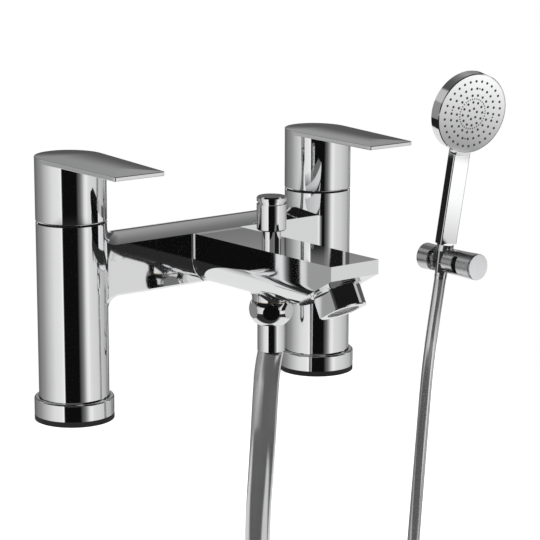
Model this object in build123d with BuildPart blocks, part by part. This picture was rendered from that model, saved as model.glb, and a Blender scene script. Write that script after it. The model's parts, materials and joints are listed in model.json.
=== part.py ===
from build123d import *
import os
from math import acos, atan2, cos, radians, sin, sqrt, tan

# Two-hole deck bath mixer with lever valves, cast spout with a pull-up diverter,
# a smooth hose and a stick handset parked in a turning wall holder.
# +X runs along the bridge, the spout points to -Y, +Z is up.
# The origin is on the deck, midway between the two inlets.

# Fits shared by all pieces
fit_gap = 0.05
seat_gap = 0.3
overrun = 5.0

# Pillars and bridge
inlet_centres = 180.0
pillar_radius = 20.0
seam_height = 113.2
seam_gap = 1.0
bridge_drop = 27.2
bridge_height = seam_height - bridge_drop
bridge_rise = 18.3
bridge_flat = 16.1
bridge_crown = 33.7
bridge_bore = 8.5
bridge_blend = 8.0
inlet_radius = 12.06
inlet_depth = 24.0
riser_radius = 8.0
valve_drop = 46.9
valve_floor = seam_height - valve_drop

# Base flanges and the black washers under them
washer_height = 3.1
flange_radius = 22.7
flange_height = 10.0
flange_recess = 4.0
flange_edge = 1.2
flange_groove = 0.6

# Ceramic cartridges
cartridge_radius = 13.5
cartridge_neck = 8.0
cartridge_rise = 7.5
seal_height = 2.0
seal_hole = 5.0
disc_radius = 10.0
disc_height = 2.6
disc_port = 3.2
disc_port_offset = 5.0
spindle_radius = 4.0
spindle_foot_radius = 9.5
spindle_foot_height = 3.0
window_radius = 5.5
gallery_radius = 7.5

# Lever handles
cap_radius = 20.1
cap_bore = 15.0
cap_bore_height = 12.0
lever_rise = 37.2
lever_height = seam_height + lever_rise
lever_fall_angle = 1.6
lever_reach = 66.9
lever_tip_width = 32.8
lever_plate = 2.5
lever_edge = 0.4
spindle_rise = 24.1
spindle_top = seam_height + spindle_rise
grub_radius = 2.0
grub_length = 9.0
grub_drop = 6.0
grub_height = spindle_top - grub_drop
grub_key_radius = 0.9
grub_key_depth = 1.5

# Spout
spout_rise = 14.25
spout_top = bridge_height + spout_rise
spout_width = 33.8
spout_reach = 138.1
spout_drop = 16.1
spout_floor = bridge_height - spout_drop
spout_tip = 8.0
spout_slope = 28.7
spout_seam = 0.15
inlet_channel_radius = 4.5
inlet_channel_drop = 3.9
inlet_channel_height = bridge_height - inlet_channel_drop
front_channel_radius = 2.8
front_channel_rise = 5.1
front_channel_height = bridge_height + front_channel_rise
connector_radius = 7.0
connector_bore = 4.5
connector_length = 16.0

# Aerator at the spout's tip
nozzle_setback = 17.9
nozzle_radius = 13.3
nozzle_length = 13.4
nozzle_bore = 9.8
nozzle_lip = 0.8
nozzle_edge = 0.6
nozzle_thread_radius = 11.5
nozzle_thread_length = 7.0
nozzle_collar_radius = 14.5
nozzle_collar_height = 1.2
nozzle_collar_root = 3.0
nozzle_well = 13.0
nozzle_well_radius = 6.5
nozzle_flat = 11.0
nozzle_flat_end = 1.0
aerator_height = 6.0
aerator_ledge = 1.0
aerator_ring = 2.0
aerator_cell_radius = 0.55
aerator_cell_pitch = 1.7
aerator_cells = 9
aerator_washer_height = 1.8

# Pull-up diverter
diverter_inset = 71.4
diverter_setback = spout_reach - diverter_inset
knob_radius = 8.4
knob_gap = 0.2
knob_height = 19.4
knob_edge = 0.8
knob_groove_width = 1.6
knob_groove_depth = 0.9
knob_groove_drop = 3.6
gland_radius = 5.45
gland_height = 7.5
gland_depth = 5.5
gland_thread = 4.9
rod_radius = 2.0
rod_socket = 11.0
chamber_height = 13.0
chamber_lift = 5.2
chamber_floor = spout_floor + chamber_lift
chamber_radius = 8.2
chamber_top = chamber_floor + chamber_height
upper_chamber_radius = 6.0
piston_radius = 7.4
piston_height = 3.0
piston_seal_height = 0.9
piston_gap = 0.1

# Hose outlet below the spout
boss_radius = 10.9
boss_blend = 4.5
boss_gap = 0.2
outlet_thread_radius = 10.3
outlet_thread_length = 8.2
outlet_spigot_radius = 6.8
outlet_spigot_length = 4.4
outlet_bore = 4.5
hose_nut_across = 23.4
hose_nut_round = 12.6
hose_nut_drop = 2.1
hose_nut_top = spout_floor - hose_nut_drop
hose_nut_height = 13.5
hose_nut_foot_radius = 8.6
hose_nut_top_radius = 11.2
hose_nut_round_share = 0.54
hose_nut_turn = 21.1
hose_washer_height = 1.8
ferrule_radius = 7.9
ferrule_bore = 4.5
ferrule_collar_height = 1.8
ferrule_collar_radius = 9.6
ferrule_drop = 29.2
ferrule_foot = hose_nut_top - ferrule_drop
hose_radius = 7.4
hose_bore_radius = 4.5

# Handset, along its own leaning axis, measured up from the holder's axis
holder_x = 1038.5
holder_y = 877.0
holder_z = -193.0
holder_turn = 0.7
handset_lean = 9.7
handset_turn = 7.8
cone_top = 13.3
cone_foot = -15.5
cone_top_radius = 10.4
cone_foot_radius = 8.5
cone_line = -4.0
cone_groove_width = 0.8
cone_groove_depth = 0.5
cone_thread_radius = 8.3
cone_floor = 15.2
end_foot = -24.5
end_ring_radius = 7.9
end_radius = 7.5
insert_radius = 5.0
insert_head_radius = 7.6
insert_head_height = 2.0
insert_bore = 3.4
insert_setback = 2.0
handle_foot = 21.7
inlet_stub_radius = 10.7
inlet_thread_length = 9.0
inlet_thread_bore = 5.0
filter_height = 1.2
filter_holes = 6
filter_hole_radius = 1.0
head_height = 192.0
head_radius = 50.0
head_thickness = 15.5
head_front = 14.0
head_wall = 2.2
head_edge = 1.0
handle_width = 24.4
handle_thickness = 13.5
handle_edge = 1.5
handle_flare = 6.0
face_radius = 48.3
cavity_radius = 46.0
face_thickness = 3.0
face_gap = 0.15
face_recess = 0.3
chamber_back = 1.0
nozzle_hole_radius = 1.15
nozzle_peg_radius = 0.95
nozzle_peg_rise = 0.8
nozzle_jet_radius = 0.45
small_nozzles = 4
small_nozzle_share = 0.7
mist_length = 2.2
mist_width = 0.8
mat_thickness = 2.0
mat_rim = 3.0
plate_thickness = 2.0
plate_holes = 12
plate_hole_radius = 2.5
plate_posts = 6
plate_post_radius = 3.0
plate_post_share = 0.75
spray_turn = 10.0
quarter_turn = 90.0

# Rows of spray nozzles: how many, and at what share of the head's radius
row_counts = (30, 24, 18, 12, 6)
row_radius_shares = (0.815, 0.632, 0.465, 0.29, 0.131)
mist_count = 36
mist_radius_share = 0.374

# Wall bracket that holds the handset
arm_radius = 16.5
arm_waist_radius = 15.7
arm_back = 31.0
arm_front = 62.0
window_front = 38.0
window_half_height = 10.7
cone_slot_half = 12.6
barrel_radius = 12.4
barrel_gap = 0.3
barrel_front = 27.0
barrel_edge = 0.8
barrel_washer_height = 0.8
barrel_washer_radius = 11.0
strap_width = 9.6
stub_radius = 4.0
stub_length = 4.5
axle_radius = 4.0
axle_grip = 7.0
axle_head_radius = 7.0
axle_head_height = 3.0
axle_slot_width = 1.2
tension_nut_across = 15.0
cap_disc_radius = 16.0
cap_disc_height = 2.2
cap_disc_edge = 0.4
cap_plug_height = 3.0
nose_pocket_radius = 9.1
nose_pocket_depth = 8.6
holder_cone_gap = 0.4
hose_slot_width = 17.0
plate_radius = 13.0
wall_plate_height = 6.0
plate_ledge = 1.5
screw_head_room = 5.0
plate_gap = 0.1
screw_hole_radius = 2.25
screw_hole_pitch = 16.0
bracket_grub_radius = 2.0
bracket_grub_length = 2.6

# The hose's route between its straight ends, from the mixer to the handset
hose_middle = [
    (1.9, -55.6, -23.4),
    (9.5, -43.0, -76.0),
    (35.0, -10.0, -164.0),
    (76.0, 27.0, -253.0),
    (126.0, 73.0, -331.0),
    (185.0, 127.0, -403.0),
    (275.0, 209.0, -487.0),
    (373.0, 297.0, -553.0),
    (478.0, 390.0, -599.0),
    (587.0, 486.0, -625.0),
    (696.0, 586.0, -625.0),
    (802.0, 685.0, -597.0),
    (881.0, 759.0, -551.0),
    (950.0, 824.0, -481.0),
    (993.0, 862.0, -413.0),
    (1022.0, 885.0, -333.0),
]
hose_run_share = 0.45
hose_drop = 24.0
hose_lead = 51.8

os.makedirs("parts", exist_ok=True)

sides = {"left": -inlet_centres / 2, "right": inlet_centres / 2}
base_top = washer_height + flange_height
pillar_foot = base_top - flange_recess
cap_foot = seam_height + seam_gap


def upright(x, y, z):
    return Plane(origin=(x, y, z))


def facing(origin, direction, side=(1, 0, 0)):
    return Plane(origin=origin, x_dir=side, z_dir=direction)


def column(plane, radius, height, mode=Mode.ADD):
    with BuildSketch(plane) as outline:
        Circle(radius)
    extrude(outline.sketch, amount=height, mode=mode)


def ring(plane, radius, hole, height, mode=Mode.ADD):
    with BuildSketch(plane) as outline:
        Circle(radius)
        Circle(hole, mode=Mode.SUBTRACT)
    extrude(outline.sketch, amount=height, mode=mode)


def bridge_bar(grow, mode=Mode.ADD):
    flat = bridge_flat + grow
    rise = bridge_rise + grow
    crown = bridge_crown + grow
    edge = rise - crown + sqrt(crown**2 - flat**2)
    with BuildSketch(bridge_start) as outline:
        with BuildLine():
            ThreePointArc((flat, edge), (0, rise), (-flat, edge))
            Line((-flat, edge), (-flat, -edge))
            ThreePointArc((-flat, -edge), (0, -rise), (flat, -edge))
            Line((flat, -edge), (flat, edge))
        make_face()
    extrude(outline.sketch, amount=inlet_centres, mode=mode)


def meets_pillar(edge):
    middle = edge @ 0.5
    if abs(middle.X) > inlet_centres / 2 or abs(middle.Z - bridge_height) > bridge_rise:
        return False
    points = (edge @ 0, middle, edge @ 1)
    reaches = (sqrt((abs(p.X) - inlet_centres / 2) ** 2 + p.Y**2) for p in points)
    return all(abs(reach - pillar_radius) < fit_gap for reach in reaches)


def finish(piece, name):
    piece.part.label = name
    export_step(piece.part, f"parts/{name}.step")


# Mixer casting: two pillars and the bridge between them, hollow for the water
forward = (0, -1, 0)
bridge_start = facing((sides["left"], 0, bridge_height), (1, 0, 0), (0, 1, 0))
inlet_line = facing((0, 0, inlet_channel_height), forward)
connector_start = facing((0, -bridge_bore, inlet_channel_height), forward)
with BuildPart() as mixer_body:
    for x in sides.values():
        column(upright(x, 0, pillar_foot), pillar_radius, seam_height - pillar_foot)
    bridge_bar(0)
    fillet(mixer_body.edges().filter_by(meets_pillar), bridge_blend)
    column(bridge_start, bridge_bore, inlet_centres, Mode.SUBTRACT)
    for x in sides.values():
        column(upright(x, 0, pillar_foot), inlet_radius, inlet_depth, Mode.SUBTRACT)
        column(upright(x, 0, pillar_foot), riser_radius, valve_floor - pillar_foot, Mode.SUBTRACT)
        bore_height = seam_height - valve_floor
        column(upright(x, 0, valve_floor), cartridge_radius + fit_gap, bore_height, Mode.SUBTRACT)
    column(inlet_line, connector_bore, bridge_rise, Mode.SUBTRACT)
    column(connector_start, connector_radius + fit_gap, bridge_rise, Mode.SUBTRACT)
finish(mixer_body, "mixer_body")

# Flange and black rubber washer under each pillar
for side, x in sides.items():
    with BuildPart() as base_flange:
        column(upright(x, 0, washer_height), flange_radius, flange_height)
        fillet(base_flange.edges().group_by(Axis.Z)[-1], flange_edge)
        column(upright(x, 0, pillar_foot), pillar_radius + flange_groove, flange_recess, Mode.SUBTRACT)
        column(upright(x, 0, 0), inlet_radius, base_top, Mode.SUBTRACT)
    finish(base_flange, f"{side}_base_flange")

    with BuildPart() as base_washer:
        ring(upright(x, 0, 0), flange_radius, inlet_radius, washer_height)
    finish(base_washer, f"{side}_base_washer")

# Cartridges: a brass housing on a rubber seal, with two ceramic discs inside
seal_floor = valve_floor
disc_floor = seal_floor + seal_height
moving_floor = disc_floor + disc_height
foot_floor = moving_floor + disc_height
foot_top = foot_floor + spindle_foot_height
neck_top = seam_height + cartridge_rise
for side, x in sides.items():
    with BuildPart() as cartridge_seal:
        ring(upright(x, 0, seal_floor), cartridge_radius, seal_hole, seal_height)
    finish(cartridge_seal, f"{side}_cartridge_seal")

    with BuildPart() as cartridge_housing:
        column(upright(x, 0, disc_floor), cartridge_radius, seam_height - disc_floor)
        column(upright(x, 0, seam_height), cartridge_neck, cartridge_rise)
        cavity = foot_top + seat_gap - disc_floor
        column(upright(x, 0, disc_floor), disc_radius + seat_gap, cavity, Mode.SUBTRACT)
        column(upright(x, 0, disc_floor), spindle_radius + fit_gap, neck_top - disc_floor, Mode.SUBTRACT)
        gallery_height = bridge_height + gallery_radius - foot_top
        column(upright(x, 0, foot_top), gallery_radius, gallery_height, Mode.SUBTRACT)
        window_half = cartridge_radius + overrun
        window_line = facing((x - window_half, 0, bridge_height), (1, 0, 0), (0, 1, 0))
        column(window_line, window_radius, window_half * 2, Mode.SUBTRACT)
    finish(cartridge_housing, f"{side}_cartridge_housing")

    with BuildPart() as fixed_disc:
        column(upright(x, 0, disc_floor), disc_radius, disc_height)
        for offset in (-disc_port_offset, disc_port_offset):
            column(upright(x + offset, 0, disc_floor), disc_port, disc_height, Mode.SUBTRACT)
    finish(fixed_disc, f"{side}_fixed_disc")

    with BuildPart() as moving_disc:
        column(upright(x, 0, moving_floor), disc_radius, disc_height)
        for offset in (-disc_port_offset, disc_port_offset):
            column(upright(x, offset, moving_floor), disc_port, disc_height, Mode.SUBTRACT)
    finish(moving_disc, f"{side}_moving_disc")

    with BuildPart() as spindle:
        column(upright(x, 0, foot_floor), spindle_foot_radius, spindle_foot_height)
        column(upright(x, 0, foot_top), spindle_radius, spindle_top - foot_top)
    finish(spindle, f"{side}_spindle")

# Lever handles: a round cap under a thin teardrop plate that falls gently to its tip
fall = radians(lever_fall_angle)
tip_half = lever_tip_width / 2
tip_distance = sqrt(tip_half**2 + lever_reach**2)
touch_angle = acos(cap_radius / tip_distance) - atan2(lever_reach, tip_half)
touch_x = cap_radius * cos(touch_angle)
touch_y = cap_radius * sin(touch_angle)
lever_high = lever_height + cap_radius
for side, x in sides.items():
    lever_top = Plane(origin=(x, 0, lever_height), x_dir=(1, 0, 0), z_dir=(0, -sin(fall), cos(fall)))
    with BuildPart() as lever_hollow:
        with BuildSketch(upright(x, 0, cap_foot - overrun)):
            with Locations((0, -lever_reach / 2 - overrun)):
                Rectangle(lever_tip_width * 2, lever_reach + overrun * 2)
            Circle(cap_radius, mode=Mode.SUBTRACT)
        extrude(amount=lever_high - cap_foot)
        split(bisect_by=lever_top.offset(-lever_plate), keep=Keep.BOTTOM)

    with BuildPart() as lever_handle:
        with BuildSketch(upright(x, 0, cap_foot)):
            Circle(cap_radius)
            with BuildLine():
                Polyline(
                    (touch_x, touch_y),
                    (tip_half, -lever_reach),
                    (-tip_half, -lever_reach),
                    (-touch_x, touch_y),
                    close=True,
                )
            make_face()
        extrude(amount=lever_high - cap_foot)
        split(bisect_by=lever_top, keep=Keep.BOTTOM)
        top_face = lever_handle.faces().sort_by(Axis.Z)[-1]
        chamfer(top_face.edges(), lever_edge)
        add(lever_hollow.part, mode=Mode.SUBTRACT)
        column(upright(x, 0, cap_foot), cap_bore, cap_bore_height, Mode.SUBTRACT)
        column(upright(x, 0, cap_foot), spindle_radius + fit_gap, spindle_top - cap_foot, Mode.SUBTRACT)
        column(
            facing((x, 0, grub_height), (0, 1, 0)),
            grub_radius + fit_gap,
            cap_radius + overrun,
            Mode.SUBTRACT,
        )
    finish(lever_handle, f"{side}_lever_handle")

    with BuildPart() as lever_screw:
        column(facing((x, spindle_radius, grub_height), (0, 1, 0)), grub_radius, grub_length)
        with BuildSketch(facing((x, spindle_radius + grub_length, grub_height), (0, -1, 0))):
            RegularPolygon(grub_key_radius, 6)
        extrude(amount=grub_key_depth, mode=Mode.SUBTRACT)
    finish(lever_screw, f"{side}_lever_screw")

# Spout: flat sides and top, a half-round belly and a slanted cut under the tip
slope = radians(spout_slope)
belly_radius = spout_width / 2
belly_height = spout_floor + belly_radius
tip_height = spout_top - spout_tip
slope_up = (0, sin(slope), cos(slope))
slope_down = (0, -sin(slope), -cos(slope))
nozzle_y = -spout_reach + nozzle_setback * cos(slope)
nozzle_z = tip_height - nozzle_setback * sin(slope)
boss_foot = hose_nut_top + boss_gap


def along_nozzle(depth):
    """Plane across the nozzle's axis, depth below the spout's slanted face, looking down it."""
    return facing((0, nozzle_y - depth * sin(slope), nozzle_z - depth * cos(slope)), slope_down)


with BuildPart() as spout:
    with BuildSketch(facing((0, 0, 0), forward)):
        with BuildLine():
            ThreePointArc((-belly_radius, belly_height), (0, spout_floor), (belly_radius, belly_height))
            Polyline(
                (belly_radius, belly_height),
                (belly_radius, spout_top),
                (-belly_radius, spout_top),
                (-belly_radius, belly_height),
            )
        make_face()
    extrude(amount=spout_reach)
    tip_cut = facing((0, -spout_reach, tip_height), slope_up)
    split(bisect_by=tip_cut, keep=Keep.TOP)
    body_edges = spout.edges()
    column(upright(0, -diverter_setback, boss_foot), boss_radius, belly_height - boss_foot)
    boss_edges = (spout.edges() - body_edges).filter_by(GeomType.BSPLINE)
    fillet(boss_edges, boss_blend)
    column(along_nozzle(-nozzle_collar_root), nozzle_collar_radius, nozzle_collar_root + nozzle_collar_height)
    bridge_bar(spout_seam, Mode.SUBTRACT)
    back_half = facing((0, -bridge_bore, bridge_height), forward)
    split(bisect_by=back_half, keep=Keep.TOP)
    # Waterway: in from the bridge, down to the hose or up and forward to the aerator
    column(inlet_line, inlet_channel_radius, diverter_setback, Mode.SUBTRACT)
    column(inlet_line, connector_radius + fit_gap, bridge_bore + connector_length, Mode.SUBTRACT)
    column(upright(0, -diverter_setback, chamber_floor), chamber_radius, chamber_height, Mode.SUBTRACT)
    gland_foot = spout_top - gland_depth
    upper_height = gland_foot - chamber_top
    column(upright(0, -diverter_setback, chamber_top), upper_chamber_radius, upper_height, Mode.SUBTRACT)
    column(upright(0, -diverter_setback, gland_foot), gland_thread + fit_gap, gland_depth, Mode.SUBTRACT)
    outlet_height = chamber_floor - boss_foot
    column(upright(0, -diverter_setback, boss_foot), outlet_bore, outlet_height, Mode.SUBTRACT)
    column(
        upright(0, -diverter_setback, boss_foot),
        outlet_spigot_radius + fit_gap,
        outlet_spigot_length,
        Mode.SUBTRACT,
    )
    front_line = facing((0, -diverter_setback, front_channel_height), forward)
    front_length = -nozzle_y - diverter_setback
    column(front_line, front_channel_radius, front_length, Mode.SUBTRACT)
    column(along_nozzle(-nozzle_well), nozzle_well_radius, nozzle_well + nozzle_collar_height, Mode.SUBTRACT)
    thread_depth = nozzle_thread_length + fit_gap
    socket_depth = thread_depth + nozzle_collar_height
    column(along_nozzle(-thread_depth), nozzle_thread_radius + fit_gap, socket_depth, Mode.SUBTRACT)
finish(spout, "spout")

with BuildPart() as spout_connector:
    ring(connector_start, connector_radius, connector_bore, connector_length)
finish(spout_connector, "spout_connector")

# Aerator: a threaded housing with two spanner flats, its screen and its washer
with BuildPart() as aerator_housing:
    column(along_nozzle(nozzle_collar_height), nozzle_radius, nozzle_length - nozzle_collar_height)
    rim = aerator_housing.faces().sort_by(Axis.Z)[0]
    chamfer(rim.edges(), nozzle_edge)
    flat_start = nozzle_collar_height + nozzle_flat_end
    for direction in (-1, 1):
        flat_place = (direction * nozzle_flat, nozzle_y, nozzle_z)
        with BuildSketch(facing(flat_place, (direction, 0, 0), slope_down)):
            with Locations((flat_start + nozzle_length / 2, 0)):
                Rectangle(nozzle_length, nozzle_radius * 2)
        extrude(amount=nozzle_radius, mode=Mode.SUBTRACT)
    thread_start = along_nozzle(-nozzle_thread_length)
    column(thread_start, nozzle_thread_radius, nozzle_thread_length + nozzle_collar_height)
    column(thread_start, nozzle_bore, nozzle_thread_length + nozzle_length, Mode.SUBTRACT)
    lip_start = along_nozzle(nozzle_length - aerator_ledge)
    ring(lip_start, nozzle_bore + fit_gap, nozzle_bore - nozzle_lip, aerator_ledge)
finish(aerator_housing, "aerator_housing")

insert_foot = nozzle_length - aerator_ledge
with BuildPart() as aerator_insert:
    column(along_nozzle(insert_foot - aerator_height), nozzle_bore - fit_gap, aerator_height)
    with BuildSketch(along_nozzle(insert_foot - aerator_height)):
        with HexLocations(aerator_cell_pitch, aerator_cells, aerator_cells):
            Circle(aerator_cell_radius)
        Circle(nozzle_bore - aerator_ring, mode=Mode.INTERSECT)
    extrude(amount=aerator_height, mode=Mode.SUBTRACT)
finish(aerator_insert, "aerator_insert")

with BuildPart() as aerator_washer:
    washer_start = insert_foot - aerator_height - aerator_washer_height
    ring(along_nozzle(washer_start), nozzle_bore - fit_gap, nozzle_bore - aerator_ring, aerator_washer_height)
finish(aerator_washer, "aerator_washer")

# Pull-up diverter: knob, rod and a piston between two seals
gland_top = spout_top + gland_height
with BuildPart() as diverter_gland:
    column(upright(0, -diverter_setback, gland_foot), gland_thread, gland_depth)
    column(upright(0, -diverter_setback, spout_top), gland_radius, gland_height)
    gland_length = gland_depth + gland_height
    column(upright(0, -diverter_setback, gland_foot), rod_radius + fit_gap, gland_length, Mode.SUBTRACT)
finish(diverter_gland, "diverter_gland")

knob_foot = gland_top + knob_gap
knob_top = knob_foot + knob_height
groove_top = knob_top - knob_groove_drop + knob_groove_width / 2
with BuildPart() as diverter_knob:
    column(upright(0, -diverter_setback, knob_foot), knob_radius, knob_height)
    rims = diverter_knob.edges().filter_by(GeomType.CIRCLE)
    chamfer(rims, knob_edge)
    groove_floor = upright(0, -diverter_setback, groove_top - knob_groove_width)
    ring(groove_floor, knob_radius, knob_radius - knob_groove_depth, knob_groove_width, Mode.SUBTRACT)
    column(upright(0, -diverter_setback, knob_foot), rod_radius + fit_gap, rod_socket, Mode.SUBTRACT)
finish(diverter_knob, "diverter_knob")

lower_seal_foot = chamber_floor + piston_gap
piston_foot = lower_seal_foot + piston_seal_height
piston_top = piston_foot + piston_height
with BuildPart() as diverter_rod:
    rod_length = knob_foot + rod_socket - lower_seal_foot
    column(upright(0, -diverter_setback, lower_seal_foot), rod_radius, rod_length)
finish(diverter_rod, "diverter_rod")

piston_stack = {
    "lower_piston_seal": (lower_seal_foot, piston_seal_height),
    "diverter_piston": (piston_foot, piston_height),
    "upper_piston_seal": (piston_top, piston_seal_height),
}
for name, (foot, height) in piston_stack.items():
    with BuildPart() as piston_piece:
        ring(upright(0, -diverter_setback, foot), piston_radius, rod_radius + fit_gap, height)
    finish(piston_piece, name)

# Outlet nipple, and the union nut that draws the hose's ferrule and washer up to it
nipple_foot = boss_foot - outlet_thread_length
spigot_height = outlet_thread_length + outlet_spigot_length
with BuildPart() as outlet_nipple:
    column(upright(0, -diverter_setback, nipple_foot), outlet_thread_radius, outlet_thread_length)
    column(upright(0, -diverter_setback, nipple_foot), outlet_spigot_radius, spigot_height)
    column(upright(0, -diverter_setback, nipple_foot), outlet_bore, spigot_height, Mode.SUBTRACT)
finish(outlet_nipple, "outlet_nipple")

washer_foot = nipple_foot - hose_washer_height
collar_foot = washer_foot - ferrule_collar_height
hose_nut_foot = hose_nut_top - hose_nut_height
with BuildPart() as hose_nut:
    with BuildSketch(upright(0, -diverter_setback, hose_nut_foot)):
        RegularPolygon(hose_nut_across / 2, 6, major_radius=False, rotation=hose_nut_turn)
    extrude(amount=hose_nut_height)
    with BuildSketch(Plane(origin=(0, -diverter_setback, hose_nut_foot), x_dir=(1, 0, 0), z_dir=forward)):
        with BuildLine():
            Line((0, 0), (hose_nut_foot_radius, 0))
            ThreePointArc(
                (hose_nut_foot_radius, 0),
                (hose_nut_round, hose_nut_height * hose_nut_round_share),
                (hose_nut_top_radius, hose_nut_height),
            )
            Line((hose_nut_top_radius, hose_nut_height), (0, hose_nut_height))
            Line((0, hose_nut_height), (0, 0))
        make_face()
    revolve(axis=Axis((0, -diverter_setback, 0), (0, 0, 1)), mode=Mode.INTERSECT)
    nut_steps = {
        hose_nut_foot: ferrule_radius,
        collar_foot: ferrule_collar_radius,
        nipple_foot: outlet_thread_radius,
    }
    for foot, radius in nut_steps.items():
        step_height = hose_nut_top - foot
        column(upright(0, -diverter_setback, foot), radius + fit_gap, step_height, Mode.SUBTRACT)
finish(hose_nut, "hose_nut")

with BuildPart() as hose_washer:
    ring(upright(0, -diverter_setback, washer_foot), ferrule_collar_radius, outlet_bore, hose_washer_height)
finish(hose_washer, "hose_washer")

with BuildPart() as hose_ferrule:
    ferrule_length = washer_foot - ferrule_foot
    column(upright(0, -diverter_setback, ferrule_foot), ferrule_radius, ferrule_length)
    column(upright(0, -diverter_setback, collar_foot), ferrule_collar_radius, ferrule_collar_height)
    column(upright(0, -diverter_setback, ferrule_foot), ferrule_bore, ferrule_length, Mode.SUBTRACT)
finish(hose_ferrule, "hose_ferrule")

# Directions of the parked handset: leaning forward in a holder that is turned a little
holder_centre = Vector(holder_x, holder_y, holder_z)
turn = radians(holder_turn)
lean = radians(handset_lean)
spin = radians(handset_turn)
barrel_up = Vector(sin(turn), 0, cos(turn))
barrel_side = Vector(cos(turn), 0, -sin(turn))
barrel_forward = Vector(0, -1, 0)
handset_up = barrel_up * cos(lean) + barrel_forward * sin(lean)
slot_forward = barrel_forward * cos(lean) - barrel_up * sin(lean)
handset_forward = slot_forward * cos(spin) - barrel_side * sin(spin)
handset_side = barrel_side * cos(spin) + slot_forward * sin(spin)


def across_handset(height):
    """Plane across the handset's axis, looking up it, with its y pointing to the handset's back."""
    return Plane(origin=holder_centre + handset_up * height, x_dir=handset_side, z_dir=handset_up)


def across_arm(distance):
    """Plane across the bracket's arm, distance in front of the holder's axis, looking forward."""
    return Plane(origin=holder_centre + barrel_forward * distance, x_dir=(1, 0, 0), z_dir=(0, -1, 0))


arm_axis = Axis(holder_centre, barrel_forward)
handset_axis = Axis(holder_centre, handset_up)

# Wall bracket: a plate screwed to the wall and an arm that hides it
arm_end = arm_front - cap_disc_height
barrel_rear = cone_slot_half
base_face = barrel_rear + barrel_washer_height
with BuildPart() as bracket_wall_plate:
    column(across_arm(-arm_back), plate_radius, wall_plate_height)
    with BuildSketch(across_arm(-arm_back)):
        with GridLocations(screw_hole_pitch, 0, 2, 1):
            Circle(screw_hole_radius)
    extrude(amount=wall_plate_height, mode=Mode.SUBTRACT)
finish(bracket_wall_plate, "bracket_wall_plate")

bore_radius = barrel_radius + barrel_gap
with BuildPart() as cone_slot:
    with BuildSketch(Plane(origin=holder_centre, x_dir=barrel_side, z_dir=slot_forward)):
        Rectangle(arm_radius * 4, arm_radius * 4)
    extrude(amount=cone_slot_half, both=True)
    with BuildSketch(across_arm(-arm_back)):
        with Locations((arm_radius, 0)):
            Rectangle(arm_radius * 2, strap_width)
    extrude(amount=arm_back + arm_front, mode=Mode.SUBTRACT)

with BuildPart() as bracket_arm:
    with BuildSketch(Plane(origin=holder_centre, x_dir=(1, 0, 0), z_dir=(0, 0, -1))):
        with BuildLine():
            Line((0, -arm_back), (arm_radius, -arm_back))
            Spline((arm_radius, -arm_back), (arm_waist_radius, 0), (arm_radius, arm_end))
            Line((arm_radius, arm_end), (0, arm_end))
            Line((0, arm_end), (0, -arm_back))
        make_face()
    revolve(axis=arm_axis)
    column(across_arm(-base_face), bore_radius, base_face + window_front, Mode.SUBTRACT)
    with BuildSketch(across_arm(-base_face)):
        with Locations((-arm_radius, 0)):
            Rectangle(arm_radius * 2, window_half_height * 2)
    extrude(amount=base_face + window_front, mode=Mode.SUBTRACT)
    add(cone_slot.part, mode=Mode.SUBTRACT)
    plate_space = wall_plate_height + plate_gap
    column(across_arm(-arm_back), plate_radius + plate_gap, plate_space, Mode.SUBTRACT)
    column(across_arm(-base_face - stub_length), stub_radius + fit_gap, stub_length, Mode.SUBTRACT)
    screw_space = wall_plate_height + screw_head_room
    column(across_arm(-arm_back), plate_radius - plate_ledge, screw_space, Mode.SUBTRACT)
    nose_web = arm_end - nose_pocket_depth
    column(across_arm(window_front), axle_radius + fit_gap, arm_end - window_front, Mode.SUBTRACT)
    column(across_arm(nose_web), nose_pocket_radius, nose_pocket_depth, Mode.SUBTRACT)
    grub_y = -arm_back + wall_plate_height / 2
    grub_axis = Plane(origin=across_arm(grub_y).origin, x_dir=(1, 0, 0), z_dir=(0, 0, -1))
    column(grub_axis, bracket_grub_radius + fit_gap, arm_radius * 2, Mode.SUBTRACT)
finish(bracket_arm, "bracket_arm")

with BuildPart() as bracket_grub_screw:
    column(grub_axis.offset(plate_radius), bracket_grub_radius, bracket_grub_length)
    with BuildSketch(grub_axis.offset(plate_radius + bracket_grub_length)):
        RegularPolygon(grub_key_radius, 6)
    extrude(amount=-grub_key_depth, mode=Mode.SUBTRACT)
finish(bracket_grub_screw, "bracket_grub_screw")

with BuildPart() as bracket_cap:
    column(across_arm(arm_end), cap_disc_radius, cap_disc_height)
    chamfer(bracket_cap.faces().sort_by(Axis.Y)[0].edges(), cap_disc_edge)
    column(across_arm(arm_end - cap_plug_height), nose_pocket_radius - fit_gap, cap_plug_height)
finish(bracket_cap, "bracket_cap")

# Holder: a barrel that turns in the arm, with a tapered seat open to the side for the hose
cone_length = cone_top - cone_foot
cone_rise = (cone_top_radius - cone_foot_radius) / cone_length
with BuildPart() as holder_barrel:
    column(across_arm(-barrel_rear), barrel_radius, barrel_rear + barrel_front)
    chamfer(holder_barrel.faces().sort_by(Axis.Y)[0].edges(), barrel_edge)
    column(across_arm(-barrel_rear - stub_length), stub_radius, stub_length)
    seat_reach = barrel_radius * 2
    seat_middle = cone_foot_radius - cone_rise * cone_foot + holder_cone_gap
    seat_plane = Plane(origin=holder_centre, x_dir=barrel_side, z_dir=handset_up)
    with BuildSketch(seat_plane.offset(-seat_reach)):
        Circle(seat_middle - cone_rise * seat_reach)
    with BuildSketch(seat_plane.offset(seat_reach)):
        Circle(seat_middle + cone_rise * seat_reach)
    loft(mode=Mode.SUBTRACT)
    with BuildSketch(seat_plane.offset(-seat_reach)):
        with Locations((-seat_reach / 2, 0)):
            Rectangle(seat_reach, hose_slot_width)
    extrude(amount=seat_reach * 2, mode=Mode.SUBTRACT)
    column(across_arm(barrel_front - axle_grip), axle_radius + fit_gap, axle_grip, Mode.SUBTRACT)
finish(holder_barrel, "holder_barrel")

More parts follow.
